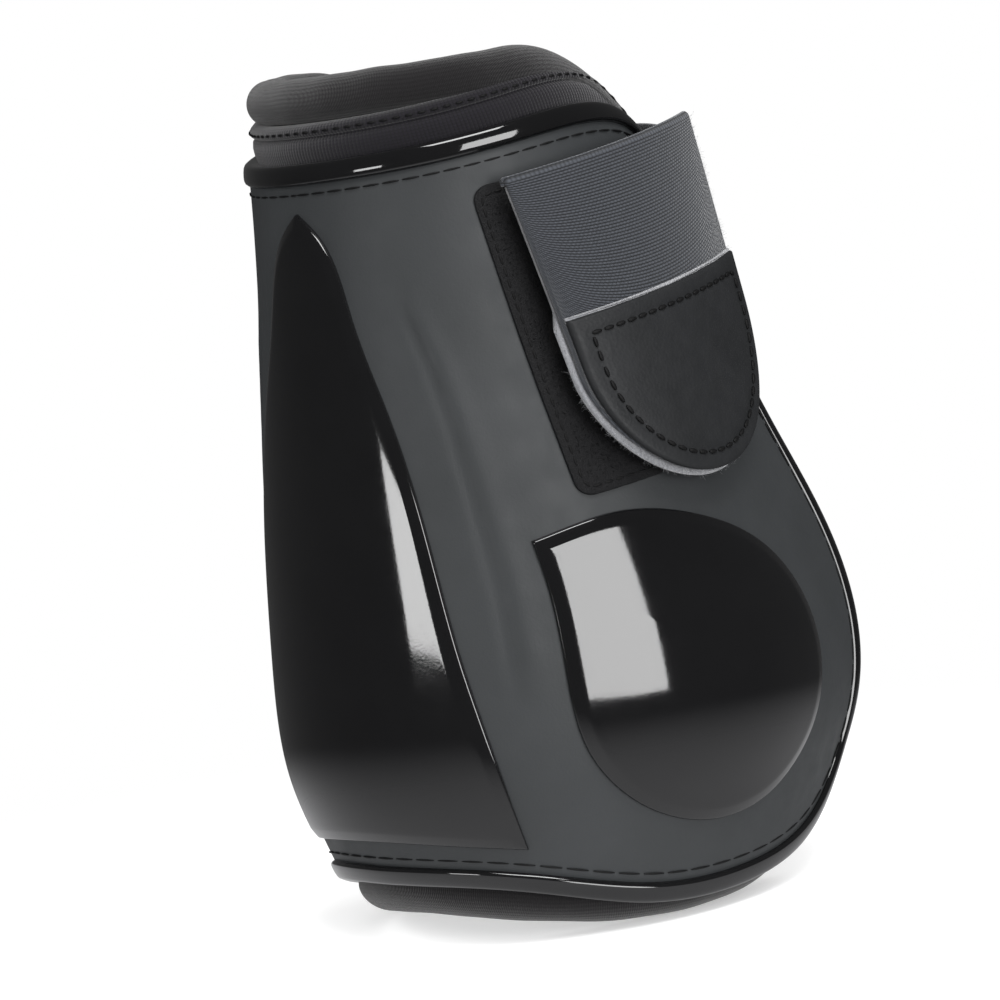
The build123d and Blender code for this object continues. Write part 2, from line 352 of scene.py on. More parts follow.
class Shader:
    """A material's node tree with short ways to add to it."""

    def __init__(self, name, **values):
        self.material = bpy.data.materials.new(name)
        self.material.use_nodes = True
        self.tree = self.material.node_tree
        self.surface = self.tree.nodes["Principled BSDF"]
        for key, value in values.items():
            self.surface.inputs[key.replace("_", " ")].default_value = value
        self.places = self.tree.nodes.new("ShaderNodeTexCoord")
        self.bumped = None

    def link(self, source, target):
        self.tree.links.new(source, target)

    def math(self, operation, first, second=None, third=None):
        node = self.tree.nodes.new("ShaderNodeMath")
        node.operation = operation
        for socket, value in zip(node.inputs, (first, second, third)):
            if isinstance(value, (int, float)):
                socket.default_value = value
            elif value is not None:
                self.link(value, socket)
        return node.outputs[0]

    def noise(self, size, detail=3.0, rough=0.55, where="Object", stretch=None):
        """Noise whose blotches are about size across, in metres."""
        node = self.tree.nodes.new("ShaderNodeTexNoise")
        node.inputs["Scale"].default_value = 1 / size
        node.inputs["Detail"].default_value = detail
        node.inputs["Roughness"].default_value = rough
        source = self.places.outputs[where]
        if stretch:
            mapping = self.tree.nodes.new("ShaderNodeMapping")
            mapping.inputs["Scale"].default_value = stretch
            self.link(source, mapping.inputs["Vector"])
            source = mapping.outputs[0]
        self.link(source, node.inputs["Vector"])
        return node.outputs["Fac"]

    def cells(self, size, feature="F1"):
        """Distances in a pattern of cells of about this size, in metres."""
        node = self.tree.nodes.new("ShaderNodeTexVoronoi")
        node.feature = feature
        node.inputs["Scale"].default_value = 1 / size
        self.link(self.places.outputs["Object"], node.inputs["Vector"])
        return node.outputs["Distance"]

    def cloth(self):
        """The two flat coordinates of the cloth, in metres."""
        node = self.tree.nodes.new("ShaderNodeSeparateXYZ")
        self.link(self.places.outputs["UV"], node.inputs[0])
        return node.outputs[0], node.outputs[1]

    def ribs(self, along, pitch, shift=0.0):
        """Rounded ribs of this pitch, from 0 to 1."""
        turn = self.math("MULTIPLY_ADD", along, math.pi / pitch, shift)
        return self.math("ABSOLUTE", self.math("SINE", turn))

    def bump(self, height, depth, strength=1.0):
        """Adds relief: height from 0 to 1 stands for depth metres."""
        node = self.tree.nodes.new("ShaderNodeBump")
        node.inputs["Distance"].default_value = depth
        node.inputs["Strength"].default_value = strength
        self.link(height, node.inputs["Height"])
        if self.bumped is not None:
            self.link(self.bumped, node.inputs["Normal"])
        self.bumped = node.outputs[0]
        self.link(self.bumped, self.surface.inputs["Normal"])

    def tint(self, factor, dark, light):
        """Colours the surface from dark to light by a factor."""
        node = self.tree.nodes.new("ShaderNodeMix")
        node.data_type = "RGBA"
        for socket, colour in zip(colour_sockets(node.inputs), (dark, light)):
            socket.default_value = colour
        self.link(factor, node.inputs["Factor"])
        self.link(colour_sockets(node.outputs)[0], self.surface.inputs["Base Color"])

    def gloss(self, factor, low, high):
        """Roughness from low to high by a factor."""
        node = self.tree.nodes.new("ShaderNodeMapRange")
        node.inputs["From Min"].default_value = 0.3
        node.inputs["From Max"].default_value = 0.7
        node.inputs["To Min"].default_value = low
        node.inputs["To Max"].default_value = high
        self.link(factor, node.inputs["Value"])
        self.link(node.outputs[0], self.surface.inputs["Roughness"])


def matte_shell():
    """Moulded shell: satin dark grey with a fine grain and broad, faint patches."""
    s = Shader("matte_shell", Specular_IOR_Level=0.35)
    s.tint(s.noise(0.03, 4), tone(40, 42, 43), tone(52, 54, 56))
    s.gloss(s.noise(0.006, 5), 0.46, 0.6)
    s.bump(s.noise(0.0006, 2), 0.00006, 0.5)
    s.bump(s.noise(0.012, 2), 0.0002, 0.15)
    return s.material


def gloss_trim():
    """Glossy black plates and rim, with a slight wave and a little dust."""
    s = Shader("gloss_trim", Specular_IOR_Level=0.6, Coat_Weight=0.6, Coat_Roughness=0.04)
    s.tint(s.noise(0.02, 3), tone(8, 8, 9), tone(16, 16, 17))
    s.gloss(s.noise(0.004, 6), 0.05, 0.09)
    s.bump(s.noise(0.02, 1), 0.00012, 0.2)
    s.bump(s.noise(0.0005, 2), 0.000012, 0.4)
    return s.material


def thread():
    """Twisted sewing thread."""
    s = Shader("thread", Specular_IOR_Level=0.25, Roughness=0.6)
    s.tint(s.noise(0.0005, 2), tone(9, 9, 9.6), tone(15, 15, 16))
    s.bump(s.noise(0.0002, 2, stretch=(1, 1, 3)), 0.0001, 0.6)
    return s.material


def knit(name, dark, light, column, row, depth, sheen=0.25):
    """Jersey knit: rounded columns crossed by rows, with a little fluff and shade painted dark into the valleys
    between the loops.
    """
    s = Shader(name, Specular_IOR_Level=0.2, Sheen_Weight=sheen, Sheen_Roughness=0.5)
    u, v = s.cloth()
    columns = s.ribs(u, column)
    rows = s.ribs(s.math("MULTIPLY_ADD", columns, row * 0.45, v), row)
    loops = s.math("MULTIPLY", s.math("POWER", columns, 0.6), s.math("MULTIPLY_ADD", rows, 0.5, 0.5))
    fluff = s.noise(0.0004, 3)
    # The colour follows the loops' relief, so shade is painted dark into the valleys between them, with a random
    # fluff of tone.
    s.tint(s.math("MULTIPLY", loops, fluff), tone(*dark), tone(*light))
    s.gloss(fluff, 0.75, 0.95)
    s.bump(loops, depth, 0.8)
    s.bump(s.noise(0.004, 3), 0.0003, 0.35)
    return s.material


def elastic():
    """Woven elastic: fine rows across the strap over faint lengthwise cords, with shade painted dark into the
    grooves between them.
    """
    s = Shader("elastic", Specular_IOR_Level=0.3, Sheen_Weight=0.3, Sheen_Roughness=0.4)
    u, v = s.cloth()
    row_pitch, cord_pitch = 0.00062, 0.0009
    rows = s.ribs(v, row_pitch)
    row_number = s.math("FLOOR", s.math("DIVIDE", v, row_pitch))
    cords = s.ribs(s.math("MULTIPLY_ADD", row_number, cord_pitch / 2, u), cord_pitch)
    weave = s.math("MULTIPLY", rows, s.math("MULTIPLY_ADD", cords, 0.5, 0.5))
    speckle = s.noise(0.0005, 3)
    # The colour follows the weave's relief, so shade is painted dark into its grooves, with a random speckle of
    # tone.
    painted_groove_shade_and_speckle = s.math("MULTIPLY", weave, s.math("MULTIPLY_ADD", speckle, 0.8, 0.55))
    s.tint(painted_groove_shade_and_speckle, tone(10, 11, 13), tone(68, 71, 77))
    s.gloss(speckle, 0.6, 0.8)
    s.bump(weave, 0.00022, 0.8)
    s.bump(s.noise(0.003, 3), 0.0003, 0.3)
    return s.material


def loop_pile():
    """Brushed loop pile: soft, pale and tangled, with shade painted darker into the hollows of the tangle."""
    s = Shader("loop_pile", Specular_IOR_Level=0.2, Sheen_Weight=0.6, Sheen_Roughness=0.4)
    tangle = s.noise(0.0005, 5, 0.7)
    # The colour follows the tangle's relief, so shade is painted darker into its hollows.
    s.tint(tangle, tone(96, 97, 101), tone(156, 157, 161))
    s.gloss(tangle, 0.8, 1.0)
    s.bump(tangle, 0.0005, 1.0)
    s.bump(s.cells(0.0009), 0.0003, 0.7)
    return s.material


def tab_leather():
    """Smooth dark leather with a fine pebbled grain."""
    s = Shader("tab_leather", Specular_IOR_Level=0.35)
    s.tint(s.noise(0.01, 4), tone(24, 25, 26), tone(34, 35, 37))
    s.gloss(s.noise(0.003, 4), 0.5, 0.66)
    s.bump(s.cells(0.0007), 0.00008, 0.6)
    s.bump(s.noise(0.006, 3), 0.0003, 0.35)
    return s.material


def hook_tape():
    """Stiff hook tape: a dark field with glints painted into its colour as pale specks."""
    s = Shader("hook_tape", Specular_IOR_Level=0.3)
    glint = s.noise(0.0004, 3, 0.7)
    # The pale specks of the colour are painted glints; the same noise also varies the roughness.
    s.tint(glint, tone(4, 4, 5), tone(24, 24, 26))
    s.gloss(glint, 0.45, 0.8)
    s.bump(s.noise(0.00045, 4, 0.7), 0.0004, 0.9)
    return s.material


def foam():
    """Shock foam with open pores, with shade painted dark into the pores."""
    s = Shader("foam", Specular_IOR_Level=0.1, Roughness=0.95)
    pores = s.cells(0.0008)
    # The colour darkens into the pores: painted shade.
    s.tint(pores, tone(30, 30, 32), tone(70, 70, 74))
    s.bump(pores, 0.0004, 1.0)
    return s.material


MATTE = matte_shell()
GLOSS = gloss_trim()
THREAD = thread()
NEOPRENE = knit("neoprene", (7, 6, 7), (27, 24, 27), 0.0005, 0.0008, 0.00012)
GUSSET = knit("gusset_knit", (9, 8, 11), (31, 28, 36), 0.0011, 0.0006, 0.00012)
LINING = knit("lining_knit", (16, 16, 18), (46, 46, 50), 0.0009, 0.0007, 0.0002, 0.5)
ELASTIC = elastic()
PILE = loop_pile()
LEATHER = tab_leather()
HOOKS = hook_tape()
FOAM = foam()


# ------------------------------------------------------------------------------
# Outlines

# In millimetres. The shell's edge in the side view runs over the top, down the open front, round the lobe and
# along the foot. The plate's side is seen from behind, and the dome's edge in the side view.
SHELL_EDGE = (
    (-60, 70), (-38, 71), (-18, 73.6), (2, 75.2), (15, 71.5), (23, 61), (42, 13), (52, -12),
    (55.5, -34), (50, -56), (34, -71), (10, -76.6), (-14, -75.3), (-38, -68), (-60, -66),
)
PLATE_SIDE = ((0, 61.5), (5, 57), (11, 41), (16.5, 24), (21.5, 4), (26, -24), (29.3, -48), (28.8, -61.5))
PLATE_FOOT_Z = -58.3
DOME_EDGE = (
    (-28.5, -3.5), (-14, -0.6), (4, -4), (19, -12), (29, -26), (29.5, -43), (19, -57.5),
    (2, -62.3), (-14, -57), (-25, -44), (-27.2, -27), (-27.6, -12), (-28.5, -3.5),
)


def one_loop(parts, spacing):
    """A closed flat loop from open curves joined end to end, and the places of its corners."""
    loop, corners = [], []
    for part in parts:
        length = np.linalg.norm(np.diff(part, axis=0), axis=1).sum()
        corners.append(sum(len(p) for p in loop))
        loop.append(evenly(part, max(6, round(length / spacing)))[:-1])
    return np.vstack(loop), corners


def inset_loop(loop, corners, inset):
    """The loop moved in with its corners kept sharp."""
    moved = moved_in(loop, inset)
    if inset == 0:
        return moved
    count = len(loop)
    centre = loop.mean(0)
    for corner in corners:
        before, after = loop[corner - 3] - loop[corner], loop[(corner + 3) % count] - loop[corner]
        before /= np.linalg.norm(before)
        after /= np.linalg.norm(after)
        half = math.acos(np.clip(before @ after, -1, 1)) / 2
        if half > math.radians(80):
            continue
        middle = before + after
        middle /= np.linalg.norm(middle)
        if middle @ (centre - loop[corner]) < 0:
            continue
        point = loop[corner] + middle * inset / math.sin(half)
        reach = inset / math.tan(half)
        for step in (-1, 1):
            i, gone = corner, 0.0
            while gone <= reach:
                moved[i] = point
                following = (i + step) % count
                gone += np.linalg.norm(loop[following] - loop[i])
                i = following
    return moved


def shell_loop():
    """The shell's whole edge, laid flat."""
    edge = np.array(SHELL_EDGE) * MM
    low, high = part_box("shell_rim")
    edge[:, 1] = low.z + (edge[:, 1] - edge[:, 1].min()) * (high.z - low.z) / np.ptp(edge[:, 1])
    curve = spline(edge, 1600)
    depth, _, centre = form_sizes(curve[:, 1])
    side = from_side(curve[curve[:, 0] > centre - depth])
    side = np.vstack([[0, side[0, 1]], side, [0, side[-1, 1]]])
    other = side[::-1][1:] * (-1, 1)
    return evenly(np.vstack([side, other]), 760, closed=True)


def dome_loop(side):
    """The fetlock dome's edge on one side, laid flat. side is 1 on the outer side."""
    flat = from_side(spline(np.array(DOME_EDGE) * MM, 600)) * (side, 1)
    return one_loop([flat], 0.6 * MM)


def plate_loop():
    """The strike plate's edge, laid flat."""
    right = from_behind(spline(np.array(PLATE_SIDE) * MM, 400) * (-1, 1))
    corner = PLATE_SIDE[-1][0] * MM
    across = np.linspace(-corner, corner, 80)
    rise = (PLATE_FOOT_Z - PLATE_SIDE[-1][1]) * MM * (1 - (across / corner) ** 2)
    foot = from_behind(np.stack([across, PLATE_SIDE[-1][1] * MM + rise], -1))
    left = right[::-1] * (-1, 1)
    return one_loop([right, foot, left], 0.6 * MM)


SHELL_LOOP = shell_loop()
LEG_SPINE = 70 * MM       # how far round to each side the rings of a whole sheet shrink to

# ------------------------------------------------------------------------------
# Shell


def bead(name, place, loop, profile):
    """A closed bar along a closed loop, with this profile of (inset, height)."""
    count = len(loop)
    points, faces = [], []
    for inset, height in profile:
        points.append(place(moved_in(loop, inset), np.full(count, height)))
    for row in range(len(profile)):
        faces.extend(ring_faces(row * count, (row + 1) % len(profile) * count, count))
    return make_object(name, np.vstack(points), faces)


def shaped_patch(name, place, loop, corners, top, bottom, rings=24, crown=0.0, relief=None, spine=None):
    """A closed piece with this flat outline, whose corners stay sharp.

    top and bottom are steps (inset, height) over the edge of its upper and its lower face. Inside them,
    rings shrink towards the loop's middle or to spine(loop). crown raises the upper face's middle, and
    relief(flat) shapes it.
    """
    count = len(loop)
    middle = spine(loop) if spine else np.broadcast_to(loop.mean(0), loop.shape)
    points, cloth, faces = [], [], []
    for steps, swell, shape in ((top, crown, relief), (bottom, 0.0, None)):
        rows = [(inset_loop(loop, corners, inset), height) for inset, height in steps]
        inner, level = rows[-1]
        for share in np.linspace(1, 0, rings + 1)[1:]:
            rows.append((middle + share * (inner - middle), level + swell * (1 - share * share)))
        for row, (flat, height) in enumerate(rows):
            if row:
                faces.extend(ring_faces((len(points) - 1) * count, len(points) * count, count))
            lift = shape(flat) if shape else 0.0
            points.append(place(flat, np.full(count, height) + lift))
            cloth.append(flat)
    faces.extend(ring_faces(0, (len(top) + rings) * count, count))
    return make_object(name, np.vstack(points), faces, np.vstack(cloth))


def along_spine(low, high):
    """A spine up the back's middle between two heights."""
    return lambda loop: np.stack([np.zeros(len(loop)), np.clip(loop[:, 1], low, high)], -1)


def round_spine(reach):
    """A spine round the leg at the middle height, this far to each side."""
    return lambda loop: np.stack([np.clip(loop[:, 0], -reach, reach), np.zeros(len(loop))], -1)


# A soft crease on each side of the strike plate: height and distance round from the back's middle.
CREASE = ((-27.5, 34.3), (-13.1, 34.7), (6.5, 34.0), (19.8, 32.7), (30.2, 30.3), (42.7, 25.8))


def panel_relief(flat):
    """The shell's surface: the soft crease beside the plate and a faint waviness."""
    heights, sides = np.array(CREASE).T * MM
    away = np.abs(flat[:, 0]) - np.interp(flat[:, 1], heights, sides)
    fade = np.clip((flat[:, 1] - heights[0] + 8 * MM) / (12 * MM), 0, 1)
    fade *= np.clip((heights[-1] + 6 * MM - flat[:, 1]) / (12 * MM), 0, 1)
    crease = -0.42 * MM * np.exp(-((away / (1.3 * MM)) ** 2))
    swell = 0.35 * MM * np.exp(-(((away - 3.2 * MM) / (2.6 * MM)) ** 2))
    wave = 0.12 * MM * np.sin(flat[:, 0] / (11 * MM)) * np.sin(flat[:, 1] / (14 * MM))
    return (crease + swell) * fade + wave


def build_shell():
    """Moulded panel, its rim, the glossy plates and the seam inside the rim."""
    panel_edge = moved_in(SHELL_LOOP, 3.8 * MM)
    face, back = in_mm([(0, -0.3), (0.3, 0.0)]), in_mm([(0, -2.2)])
    spine = round_spine(LEG_SPINE)
    panel = shaped_patch("shell_panel", on_leg, panel_edge, [], face, back, 64, 0, panel_relief, spine)
    dress(panel, "boot", MATTE, ["outer_shell"])
    profile = in_mm([
        (0.1, -2.4), (0, -1.6), (0, -0.4), (0.12, 0.3), (0.4, 0.72), (0.85, 0.95), (1.6, 1.07), (2.4, 1.12),
        (3.1, 1.08), (3.55, 0.9), (3.9, 0.5), (4.1, 0.0), (4.2, -0.4), (4.2, -2.4),
    ])
    dress(bead("rim_bead", on_leg, SHELL_LOOP, profile), "boot", GLOSS, ["shell_rim"])
    top = in_mm([
        (0, 0.0), (0.08, 0.55), (0.22, 0.85), (0.4, 0.93), (1.85, 1.36), (2.1, 1.42), (2.4, 1.46), (3.2, 1.47),
    ])
    base = in_mm([(0.2, -0.3)])
    spine = along_spine(-46 * MM, 46 * MM)
    plate = shaped_patch("strike_plate", on_leg, *plate_loop(), top, base, 40, spine=spine)
    dress(plate, "boot", GLOSS, ["back_strike_plate"])
    domes = ((1, "outer_dome", "lateral_fetlock_dome"), (-1, "inner_dome", "medial_fetlock_dome"))
    for side, name, node in domes:
        dome = shaped_patch(name, on_leg, *dome_loop(side), top, base, 40, 0.5 * MM)
        dress(dome, "boot", GLOSS, [node])
    curve = moved_in(SHELL_LOOP, 5.8 * MM)
    curve = np.vstack([curve, curve[:1]])
    segments = stitch_row(on_leg, curve, 0.1 * MM, 5.0 * MM, 4.1 * MM)
    seam = capsules("shell_seam", segments, 0.42 * MM, 0.4 * MM, 0.05 * MM)
    dress(seam, "boot", THREAD, ["shell_stitching"])


# ------------------------------------------------------------------------------
# Lining, pads and padded edges


def quilted(flat):
    """Gentle fullness of the knitted lining."""
    return 0.35 * MM * np.sin(flat[:, 0] / (5.2 * MM)) * np.sin(flat[:, 1] / (6.1 * MM))


def inside_out(flat, height):
    """Places points on the leg, with heights counted inwards."""
    return on_leg(flat, -height)


def build_lining():
    """Neoprene liner, its shock pads and the knitted lining."""
    edge = moved_in(SHELL_LOOP, 0.8 * MM)
    steps = in_mm([(0, -5.4), (0, -3.6), (0.5, -2.7), (1.2, -2.5)])
    under = in_mm([(0, -7.0), (0.5, -8.1), (1.2, -8.4)])
    spine = round_spine(LEG_SPINE)
    liner = shaped_patch("liner", on_leg, edge, [], steps, under, 40, spine=spine)
    dress(liner, "boot", NEOPRENE, ["neoprene_liner"])
    inner = moved_in(SHELL_LOOP, 1.6 * MM)
    face, back = in_mm([(0, 8.5), (0.4, 9.1), (1.2, 9.3)]), in_mm([(0.2, 8.3)])
    lining = shaped_patch("knitted_lining", inside_out, inner, [], face, back, 64, 0, quilted, spine)
    dress(lining, "boot", LINING, ["inner_lining"])
    pad_steps = in_mm([(0, -4.0), (0.6, -2.7), (1.5, -2.5)])
    pad_under = in_mm([(0.6, -5.1), (1.5, -5.3)])
    edge = inset_loop(*plate_loop(), 3 * MM)
    spine = along_spine(-40 * MM, 40 * MM)
    pad = shaped_patch("back_pad", on_leg, edge, [], pad_steps, pad_under, 16, spine=spine)
    dress(pad, "boot", FOAM, ["back_foam_pad"])
    pads = ((1, "outer_pad", "lateral_foam_pad"), (-1, "inner_pad", "medial_foam_pad"))
    for side, name, node in pads:
        loop = dome_loop(side)[0]
        loop = loop.mean(0) + 0.85 * (loop - loop.mean(0))
        pad = shaped_patch(name, on_leg, loop, [], pad_steps, pad_under, 16)
        dress(pad, "boot", FOAM, [node])


def stretch(flat):
    """True length round the leg for each metre of flat length."""
    depth, width, _ = form_sizes(flat[:, 1])
    turn = flat[:, 0] / ROUND_RADIUS
    return np.hypot(depth * np.sin(turn), width * np.cos(turn)) / ROUND_RADIUS


def along_path(name, path, profile):
    """A bar along an open flat path. profile(share, length) gives its section as (sideways, height) rows."""
    along = np.gradient(path, axis=0)
    scale = stretch(path)
    along[:, 0] *= scale
    along /= np.linalg.norm(along, axis=1, keepdims=True)
    across = np.stack([-along[:, 1] / scale, along[:, 0]], -1)
    lengths = flat_lengths(path)
    sections, cloth = [], []
    for place, aside, length in zip(path, across, lengths):
        rows = np.asarray(profile(length / lengths[-1], length), float)
        sections.append(on_leg(place + aside * rows[:, :1], rows[:, 1]))
        cloth.append(np.stack([np.full(len(rows), length), flat_lengths(rows)], -1))
    return sweep(name, sections, np.vstack(cloth))


def roll(name, track, depth_below, radius, node, seed):
    """A padded knit roll along both sides of the boot, open at the front."""
    side = np.array([(math.pi * (180 - angle) / 180 * ROUND_RADIUS, z * MM) for angle, z in track])
    points = np.vstack([side[:0:-1] * (-1, 1), side])
    path = spline(points, 460)
    rng = np.random.default_rng(seed)
    waves = [(rng.uniform(60, 420), rng.uniform(0, 6.3), rng.uniform(0.2, 1.0)) for _ in range(9)]
    turns = np.linspace(0, 2 * math.pi, 41)[:-1]

    def section(share, length):
        end = min(share, 1 - share) * 90
        size = radius * math.sqrt(max(1 - (1 - min(end, 1)) ** 2, 0.02))
        pucker = sum(weight * math.sin(pitch * length + phase) for pitch, phase, weight in waves)
        size += 0.035 * MM * pucker
        return np.stack([size * np.cos(turns), -depth_below + size * np.sin(turns)], -1)

    return dress(along_path(name, path, section), "boot", NEOPRENE, [node])


TOP_ROLL = ((180, 82.2), (145, 82.5), (110, 83.0), (82, 82.6), (66, 78.6), (54, 71.0))
BOTTOM_ROLL = ((180, -70.8), (155, -72.2), (125, -75.2), (101, -76.0), (79, -74.6), (60, -70.4))
GUSSET_FOOT_Z = 68 * MM


def top_edge(rise):
    """The part of the shell's upper edge that carries the gusset, moved up by rise."""
    loop = moved_in(SHELL_LOOP, -rise)
    kept = loop[SHELL_LOOP[:, 1] > GUSSET_FOOT_Z - rise * 0.3]
    return evenly(kept[np.argsort(kept[:, 0])], 420)


def build_edges():
    """Gusset and collar roll above the rim with their seam, and the roll below the rim."""
    rows = in_mm([
        (-1.2, -2.3), (0.2, -1.9), (1.5, -1.45), (2.8, -1.25), (3.9, -1.35), (4.35, -1.8), (4.55, -1.9),
        (4.75, -1.5), (5.1, -1.05), (5.8, -0.95), (6.3, -1.1), (6.8, -1.6), (7.2, -2.4), (7.2, -8.2),
        (3.0, -8.4), (-1.2, -8.2),
    ])
    gusset = along_path("gusset", top_edge(0), lambda share, length: rows)
    dress(gusset, "boot", GUSSET, ["top_gusset"])
    roll("collar_roll", TOP_ROLL, 5.2 * MM, 4.3 * MM, "top_collar_roll", 3)
    roll("foot_roll", BOTTOM_ROLL, 6.2 * MM, 4.3 * MM, "bottom_collar_roll", 5)
    segments = stitch_row(on_leg, top_edge(5.6 * MM)[6:-6], -0.95 * MM, 3.5 * MM, 2.1 * MM)
    seam = capsules("collar_seam", segments, 0.55 * MM, 0.45 * MM, 0.1 * MM)
    dress(seam, "boot", THREAD, ["collar_stitching"])


# ------------------------------------------------------------------------------
# Closure

HOOK_CENTRE = (0.5, 35.2)     # in millimetres, in the side view
HOOK_SIZE = (46.5, 60)        # in millimetres
HOOK_CORNER = 3               # in millimetres
HOOK_TILT = 6.5               # in degrees
STRAP_TILT = math.radians(8)
STRAP_HALF = 26 * MM
FOLD_CENTRE = (1.5 * MM, 65.8 * MM)
FOLD_LEVEL = 6.05 * MM        # of the flap's middle layer
FOLD_RADIUS = 0.55 * MM
TAB_HALF = STRAP_HALF - 0.5 * MM
TAB_TOP = -26.5 * MM
TAB_SHOULDER = -36 * MM
TAB_TIP = -62 * MM
BAND_TOP = -2 * MM
BAND_FOOT = -38 * MM
BAND_RISE = 3.6 * MM
FLAP_PLAN_Z = 62 * MM
FLAP_PLAN = (43.8 * MM, 37.7 * MM, 1.1 * MM)
FLAP_FLARE = 0.14
FLAP_FRONT_BEND = 0.85


def slab(name, place, middle, normal, half, cloth):
    """A thin sheet round a grid of middle points (a, b, height), half thick on each side along its normals."""
    rows, columns = half.shape
    points = np.vstack([
        place((middle + normal * half[..., None]).reshape(-1, 3)),
        place((middle - normal * half[..., None]).reshape(-1, 3)),
    ])
    under = rows * columns
    faces = []
    for row in range(rows - 1):
        for start, flip in ((0, 1), (under, -1)):
            quads = strip_faces(start + row * columns, start + (row + 1) * columns, columns)
            faces.extend(quad[::flip] for quad in quads)
    rim = list(range(columns))
    rim += [row * columns + columns - 1 for row in range(1, rows)]
    rim += [(rows - 1) * columns + i for i in range(columns - 2, -1, -1)]
    rim += [row * columns for row in range(rows - 2, 0, -1)]
    for i, first in enumerate(rim):
        second = rim[(i + 1) % len(rim)]
        faces.append((first, second, second + under, first + under))
    flat = cloth.reshape(-1, 2)
    return make_object(name, points, faces, np.vstack([flat, flat]))


def rounded(distance, bevel):
    """How thick a sheet is this far from its edge, from almost 0 to 1."""
    share = np.clip(distance / bevel, 0, 1)
    return 0.08 + 0.92 * np.sqrt(1 - (1 - share) ** 2)


def on_strap(points):
    """Points in space for (across the strap, up the strap, distance outside the shell) under and on the flap."""
    across, up, height = points.T
    x = FOLD_CENTRE[0] + across * math.cos(STRAP_TILT) - up * math.sin(STRAP_TILT)
    z = FOLD_CENTRE[1] + across * math.sin(STRAP_TILT) + up * math.cos(STRAP_TILT)
    depth, width, centre = FLAP_PLAN
    share = np.clip((centre - x) / (depth + height), -0.9, 0.999)
    bend = np.where(share > 0, share**2, FLAP_FRONT_BEND * share**2)
    y = -(width + height) * np.sqrt(1 - bend) - FLAP_FLARE * (FLAP_PLAN_Z - z)
    return np.stack([x, y, z], -1)


def on_flap(flat, height):
    """Points in space for flat points on the flap at these heights."""
    return on_strap(np.column_stack([flat, np.broadcast_to(height, len(flat))]))


def tongue_grid(top, half_width, tip, columns=120, rows=110):
    """Flat points over the tongue: straight sides and a half ellipse for its end."""
    turns = np.linspace(-math.pi / 2, math.pi / 2, columns)
    across = half_width * np.sin(turns)
    foot = TAB_SHOULDER - (TAB_SHOULDER - tip) * np.cos(turns)
    share = 1 - (1 - np.linspace(0, 1, rows)) ** 1.5
    share = share[:, None]
    up = top + share * (foot - top)
    return np.stack([np.broadcast_to(across, up.shape), up], -1), foot


def edge_distance(grid, foot, half_width):
    """How far the points of a tongue are from its sides and its round end."""
    sides = half_width - np.abs(grid[..., 0])
    end = (grid[..., 1] - foot) * 0.8
    return np.minimum(sides, np.maximum(end, 0))


def upright(middle):
    """Normals that point straight out, for a grid of middle points."""
    normal = np.zeros_like(middle)
    normal[..., 2] = 1
    return normal


def build_elastic_flap():
    """The flap's elastic, rolled over at its fold with a short tail behind it."""
    grid, foot = tongue_grid(0.4 * MM, STRAP_HALF, TAB_TIP + 1 * MM)
    turns = np.linspace(-math.pi / 2, math.pi / 2, 13)[:-1]
    columns = np.zeros(grid.shape[1])
    tail = 3
    tail_up = np.array([[-0.2], [0.0], [0.2]]) * MM + columns
    fold_up = 0.4 * MM + FOLD_RADIUS * np.cos(turns)[:, None] + columns
    fold_height = FOLD_LEVEL - FOLD_RADIUS + FOLD_RADIUS * np.sin(turns)[:, None] + columns
    tail_height = np.full((tail, len(columns)), FOLD_LEVEL - 2 * FOLD_RADIUS)
    up = np.vstack([tail_up, fold_up, grid[..., 1]])
    height = np.vstack([tail_height, fold_height, np.full(grid.shape[:2], FOLD_LEVEL)])
    wide = np.broadcast_to(grid[0, :, 0], up.shape)
    middle = np.stack([wide, up, height], -1)
    normal = upright(middle)
    normal[:tail, :, 2] = -1
    normal[tail:tail + len(turns), :, 1] = np.cos(turns)[:, None]
    normal[tail:tail + len(turns), :, 2] = np.sin(turns)[:, None]
    distance = STRAP_HALF - np.abs(wide)
    distance[tail + len(turns):] = edge_distance(grid, foot, STRAP_HALF)
    half = 0.53 * MM * rounded(distance, 0.5 * MM)
    run = flat_lengths(middle[:, len(columns) // 2, 1:])[:, None] + columns
    flap = slab("elastic_flap", on_strap, middle, normal, half, np.stack([wide, -run], -1))
    dress(flap, "lock_flap", ELASTIC, ["lock_flap"])


def build_flap_pile():
    """Loop pile under the flap and the tab, a little wider than both."""
    pile_half = STRAP_HALF + 0.6 * MM
    grid, foot = tongue_grid(-0.5 * MM, pile_half, TAB_TIP - 1.0 * MM)
    grid = grid.copy()
    grid[..., 0] *= 1 - 0.05 * np.clip((grid[..., 1] - TAB_TOP + 2 * MM) / (4 * MM), 0, 1)
    middle = np.dstack([grid, np.full(grid.shape[:2], 4.9 * MM)])
    half = 0.48 * MM * rounded(edge_distance(grid, foot, pile_half), 0.5 * MM)
    lining = slab("flap_pile", on_strap, middle, upright(middle), half, grid)
    dress(lining, "lock_flap", PILE, ["flap_loop_lining"])


